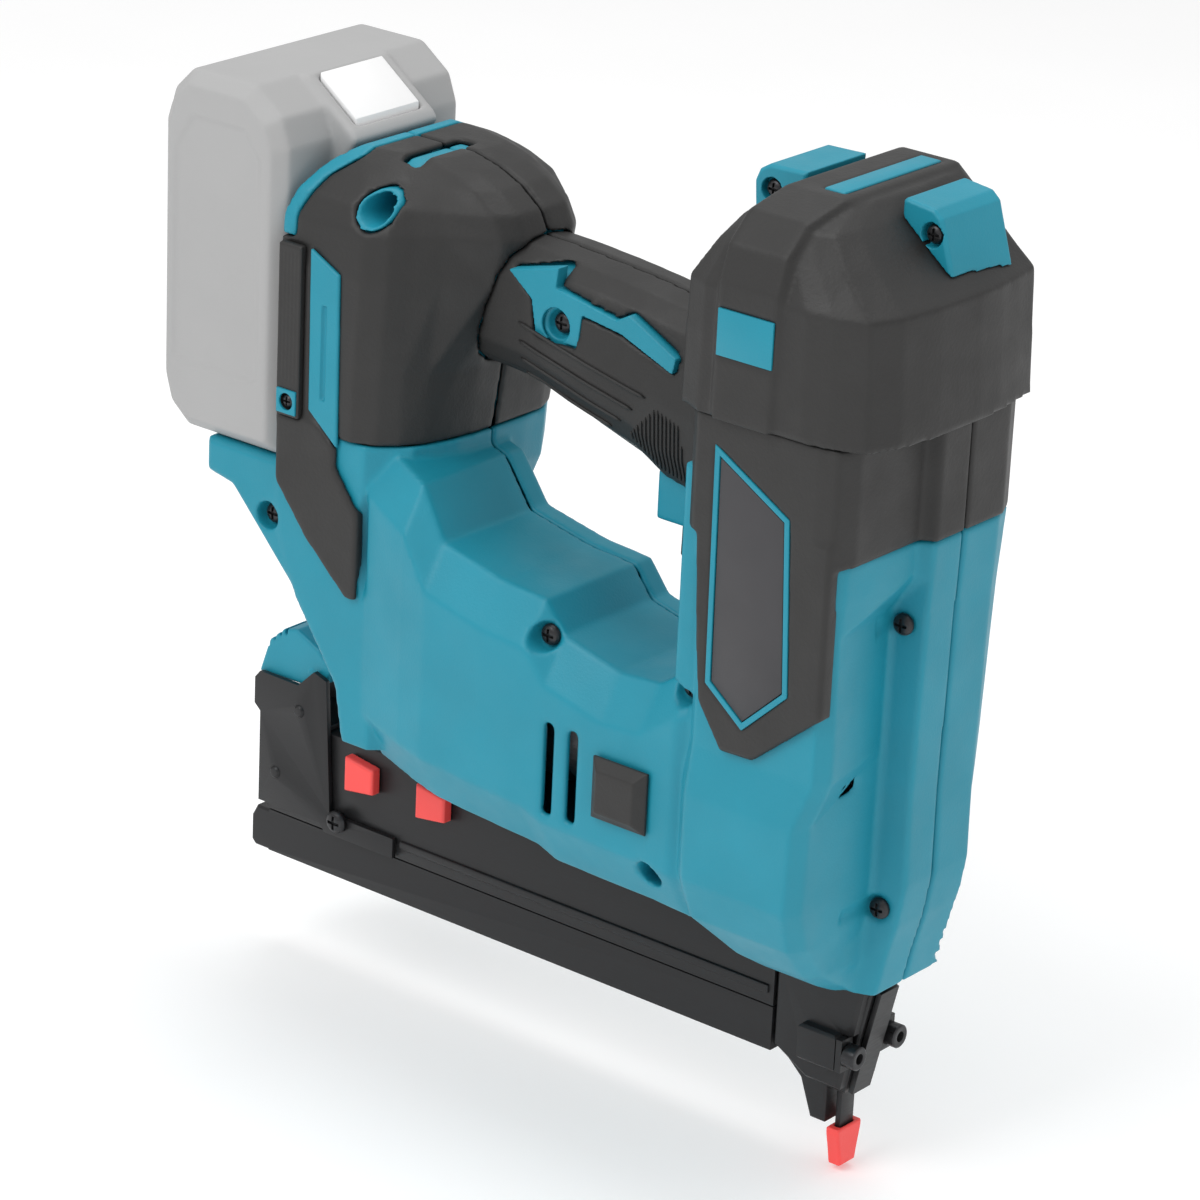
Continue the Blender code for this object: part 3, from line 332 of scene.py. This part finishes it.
def skins():
    """The black mouldings. The dome is the roundest, and the cap keeps its flat faces."""
    for name, passes in (("dome_skin", 9), ("grip_skin", 4), ("collar", 3)):
        for node in (name + "_near", name + "_far"):
            stand_for(soften(start_from(node), SHELL_VOXEL, passes), node)
    stand_for(soften(start_from("head_cap"), SHELL_VOXEL, 2), "head_cap")


def bead(surface, start, end, radius, side=-1.0, steps=24):
    """Rings of a fine rib that follows a surface between two X, Z points, on its near or far side."""
    ring_sides = 8
    lift = side * radius * 0.35
    centres = []
    for step in range(steps + 1):
        share = step / steps
        x = start[0] + (end[0] - start[0]) * share
        z = start[1] + (end[1] - start[1]) * share
        hit = surface.ray_cast(Vector((x * MM, side * 0.09, z * MM)), Vector((0.0, -side, 0.0)))[0]
        if hit:
            centres.append(Vector((x, hit.y / MM + lift, z)))
    rings = []
    for i, centre in enumerate(centres):
        along = (centres[min(i + 1, len(centres) - 1)] - centres[max(i - 1, 0)]).normalized()
        across = along.cross(Vector((0.0, side, 0.0))).normalized()
        out = across.cross(along)
        taper = 0.25 if i in (0, len(centres) - 1) else 1.0
        ring = []
        for k in range(ring_sides):
            angle = 2.0 * math.pi * k / ring_sides
            ring.append(tuple(centre + (across * math.cos(angle) + out * math.sin(angle)) * radius * taper))
        rings.append(ring)
    return rings


def merge(name, parts):
    """Puts several closed meshes into one object."""
    work = bmesh.new()
    for part in parts:
        work.from_mesh(part.data)
        bpy.data.objects.remove(part)
    mesh = bpy.data.meshes.new(name)
    work.to_mesh(mesh)
    work.free()
    obj = bpy.data.objects.new(name, mesh)
    bpy.context.collection.objects.link(obj)
    return shade(obj)


def add_piece(obj, body, slot):
    """Gives a piece that stands for no CAD node the material of a slot, and a body."""
    obj.data.materials.clear()
    obj.data.materials.append(MATERIALS[slot])
    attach(obj, body)
    return obj


def rib_span(outline, x):
    """The lowest and highest Z of a closed X, Z outline at one X."""
    heights = []
    for (ax, az), (bx, bz) in zip(outline, outline[1:] + outline[:1]):
        if min(ax, bx) <= x < max(ax, bx):
            heights.append(az + (bz - az) * (x - ax) / (bx - ax))
    return min(heights), max(heights)


def grip_ribs():
    """Long finger ribs along both sides of the grip, and a finely ribbed patch by the trigger."""
    # Each long rib's height at its rear end, and the X and Z of its front end.
    ribs = [(224.5, -70.3, 213.8), (219.0, -74.6, 209.2), (213.6, -78.9, 204.8), (209.0, -83.3, 201.8)]
    patch = [(-77.0, 201.0), (-67.2, 211.5), (-58.6, 208.0), (-57.5, 191.2), (-66.8, 193.6)]
    patch_rear = patch[0][0]
    patch_front = patch[3][0]
    for node, side in (("grip_skin_near", -1.0), ("grip_skin_far", 1.0)):
        skin = bmesh.new()
        skin.from_mesh(frame["nodes"][node].data)
        surface = BVHTree.FromBMesh(skin)
        skin.free()
        parts = []
        for rear_z, front_x, front_z in ribs:
            path = bead(surface, (RIB_REAR_X, rear_z), (front_x, front_z), RIB_RADIUS, side)
            parts.append(loft("rib", path))
        x = patch_rear + 1.2
        while x < patch_front - 0.6:
            low, high = rib_span(patch, x)
            if high - low > 2.0:
                parts.append(loft("rib", bead(surface, (x, low), (x, high), PATCH_RIB_RADIUS, side, 12)))
            x += PATCH_PITCH
        add_piece(merge("look_ribs_" + node, parts), "tool", SLOT_OF[node])


def bumper_plate():
    """The square plate round the bumper's screw."""
    low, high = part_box("screw_bumper")
    x = (low[0] + high[0]) / 2.0 / MM
    z = (low[2] + high[2]) / 2.0 / MM
    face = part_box("side_bumper")[0][1] / MM
    half = 3.6
    square = block("look_bumper_plate", (x - half, face - 0.6, z - half), (x + half, face + 0.3, z + half))
    cut(square, rod("tool", (x, 0.0, z), 2.5, face - 5.0, face + 5.0))
    add_piece(edge_round(square, 0.2), "tool", "teal")


def trims():
    """The small mouldings, and the flat ones, which keep crisp edges."""
    for node in ("cap_clip_front", "cap_clip_rear", "side_panel", "side_bumper", "grip_inlay",
                 "release_lever", "motor_pad", "contact_tip", "spare_tip_rear", "spare_tip_front",
                 "trigger"):
        stand_for(soften(start_from(node), TRIM_VOXEL, 3), node)
    for node in ("label_frame", "label_plate", "side_window", "top_strip", "pack_button"):
        stand_for(edge_round(start_from(node), 0.2), node)


def metalwork():
    """The magazine, the nose and the contact arm."""
    for node in ("magazine_track", "magazine_cover", "rear_bracket", "nose_body", "nose_plate",
                 "contact_arm"):
        stand_for(edge_round(start_from(node), 0.3), node)


def cross_screw(node):
    """A pan head with a cross recess."""
    low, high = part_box(node)
    centre = [(a + b) / 2.0 / MM for a, b in zip(low, high)]
    radius = (high[0] - low[0]) / 2.0 / MM
    face = low[1] / MM
    end = high[1] / MM
    profile = [(0, face), (radius * 0.55, face + 0.1), (radius * 0.85, face + 0.6), (radius, face + 1.4),
               (radius, face + 2.2), (radius * 0.47, face + 2.2), (radius * 0.47, end - 1.0), (0, end)]
    x, z = centre[0], centre[2]
    head = turned("look_" + node, (x, 0.0, z), profile)
    reach = radius * 0.62
    half = radius * 0.13
    for a, b in ((reach, half), (half, reach)):
        cut(head, block("tool", (x - a, face - 2.0, z - b), (x + a, face + 1.2, z + b)))
    edge_round(head, 0.08)
    stand_for(head, node)


def fasteners():
    """Every cross-head screw, and the two bolts at the nose."""
    for node in SLOT_OF:
        if node.startswith("screw_"):
            cross_screw(node)
    for node in ("nose_bolt_near", "nose_bolt_far"):
        stand_for(edge_round(start_from(node), 0.15), node)


def pack():
    """The battery case: a shallow panel and three grooves on each side, and room for its button."""
    case = start_from("battery_pack")
    low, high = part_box("battery_pack")
    near = low[1] / MM
    far = high[1] / MM
    panel = [(-226.0, 192.0), (-226.0, 255.0), (-219.0, 266.0), (-199.0, 266.0), (-193.0, 258.0),
             (-193.0, 192.0)]
    sunk = 0.8
    cut(case, plate("tool", panel, near - 5.0, near + sunk), plate("tool", panel, far - sunk, far + 5.0))
    for i in range(3):
        z = 258.0 + 4.2 * i
        for side in (near, far):
            cut(case, block("tool", (-250.0, side - 4.0, z), (-223.5 + 1.5 * i, side + 4.0, z + 1.2)))
    pocket = start_from("pack_button")
    for vertex in pocket.data.vertices:
        vertex.co.z -= BUTTON_ROOM * MM
    cut(case, pocket)
    stand_for(soften(case, SHELL_VOXEL, 6), "battery_pack")


def springs():
    """The two coil springs, of the contact foot and the pusher, each given its material and its body."""
    contact = ("contact_spring", "contact_press", (0.0, 0.0, 1.0), 1, CONTACT_TRAVEL)
    pusher = ("pusher_spring", "pusher_travel", (1.0, 0.0, 0.0), 0, PUSHER_TRAVEL)
    for node, joint, axis, end, travel in (contact, pusher):
        low, high = (Vector(corner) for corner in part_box(node))
        anchor = (low + high) / 2.0
        line = Vector(axis)
        held = (low, high)[end]
        anchor += line * (held - anchor).dot(line)
        obj = start_from(node)
        obj.data.materials.clear()
        obj.data.materials.append(MATERIALS[SLOT_OF[node]])
        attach(obj, BODY_OF[node])
        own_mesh(shade(obj))
        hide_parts(node)


def carried_over():
    """Inner pieces keep their CAD mesh, with a finer material."""
    for node, slot in SLOT_OF.items():
        obj = frame["nodes"][node]
        obj.data.materials.clear()
        obj.data.materials.append(MATERIALS[LOOK_OF.get(node, slot)])


# ---------------------------------------------------------------- stage

def camera():
    """A long lens, above the tool and in front of its near side."""
    data = bpy.data.cameras.new("camera")
    data.lens = 150.0
    data.sensor_width = 36.0
    data.clip_end = 20.0
    obj = bpy.data.objects.new("camera", data)
    bpy.context.collection.objects.link(obj)
    azimuth, elevation, roll = math.radians(38.2), math.radians(21.75), math.radians(2.72)
    back = Vector((math.sin(azimuth) * math.cos(elevation), -math.cos(azimuth) * math.cos(elevation),
                   math.sin(elevation)))
    level = Vector((math.cos(azimuth), math.sin(azimuth), 0.0))
    upright = back.cross(level)
    right = level * math.cos(roll) + upright * math.sin(roll)
    up = upright * math.cos(roll) - level * math.sin(roll)
    turn = Matrix((right, up, back)).transposed()
    obj.matrix_world = Matrix.Translation((0.7150, -1.0305, 0.6658)) @ turn.to_4x4()
    bpy.context.scene.camera = obj


def soft_box(name, place, aim, size, power):
    """A rectangular area light, turned to face its aim."""
    data = bpy.data.lights.new(name, "AREA")
    data.shape = "RECTANGLE"
    data.size, data.size_y = size
    data.energy = power
    obj = bpy.data.objects.new(name, data)
    bpy.context.collection.objects.link(obj)
    obj.location = place
    obj.rotation_euler = (Vector(aim) - Vector(place)).to_track_quat("-Z", "Y").to_euler()


def studio():
    """A white floor and backdrop, with three soft lights."""
    floor = block("floor", (-6000.0, -6000.0, -12.0), (6000.0, 6000.0, -2.0))
    nodes = Nodes("floor_paint", 0.9)
    cloudy = nodes.remap(nodes.noise(4.0), 0.0, 1.0)
    nodes.colour(nodes.blend(cloudy, (0.90, 0.90, 0.90), (0.93, 0.93, 0.93)))
    nodes.shader.inputs["Emission Color"].default_value = (1.0, 1.0, 1.0, 1.0)
    nodes.shader.inputs["Emission Strength"].default_value = 0.16
    floor.data.materials.append(nodes.material)
    world = bpy.data.worlds.new("studio")
    world.use_nodes = True
    backdrop = world.node_tree.nodes["Background"]
    backdrop.inputs["Color"].default_value = (1.0, 1.0, 1.0, 1.0)
    backdrop.inputs["Strength"].default_value = 0.66
    bpy.context.scene.world = world
    soft_box("key", (-0.35, -1.1, 1.35), (-0.08, 0.0, 0.14), (0.9, 0.9), 10.5)
    soft_box("front", (1.5, -0.5, 0.5), (-0.05, 0.0, 0.15), (0.7, 1.1), 1.3)
    soft_box("top", (-0.1, 0.3, 1.6), (-0.08, 0.0, 0.15), (1.2, 0.8), 7.5)
    bpy.context.scene.view_settings.view_transform = "Standard"


carried_over()
shells()
skins()
trims()
metalwork()
fasteners()
grip_ribs()
bumper_plate()
springs()
pack()
camera()
studio()
